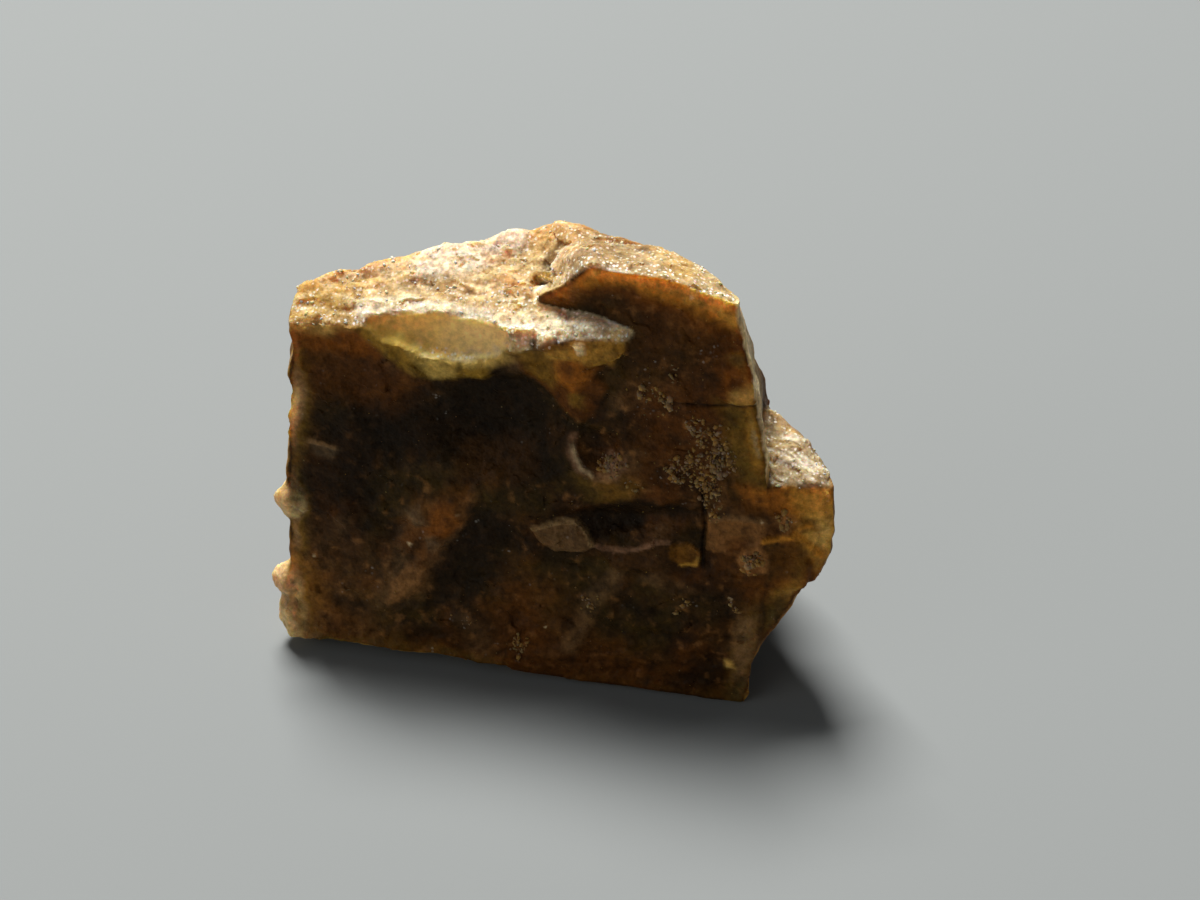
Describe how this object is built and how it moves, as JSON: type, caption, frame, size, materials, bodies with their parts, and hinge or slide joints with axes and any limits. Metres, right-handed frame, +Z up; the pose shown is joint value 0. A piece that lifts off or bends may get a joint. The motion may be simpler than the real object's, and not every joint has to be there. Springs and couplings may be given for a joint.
{
  "type": "herderite crystal",
  "caption": "Broken crystal of brown translucent herderite with a stepped pale crust on top and a lobe on its right side, resting on a flat base.",
  "frame": {"origin": "on the flat base, under the middle of the stone", "axes": "+Z up; the broad front face looks towards -Y; +X runs along its width, towards the lobe"},
  "size_m": [0.0157, 0.0081, 0.0127],
  "materials": {
    "herderite": "dull to glassy brown translucent stone, with a sparkling cream crust on its broken top"
  },
  "bodies": {
    "root": {"herderite_crystal": "herderite"}
  },
  "joints": []
}
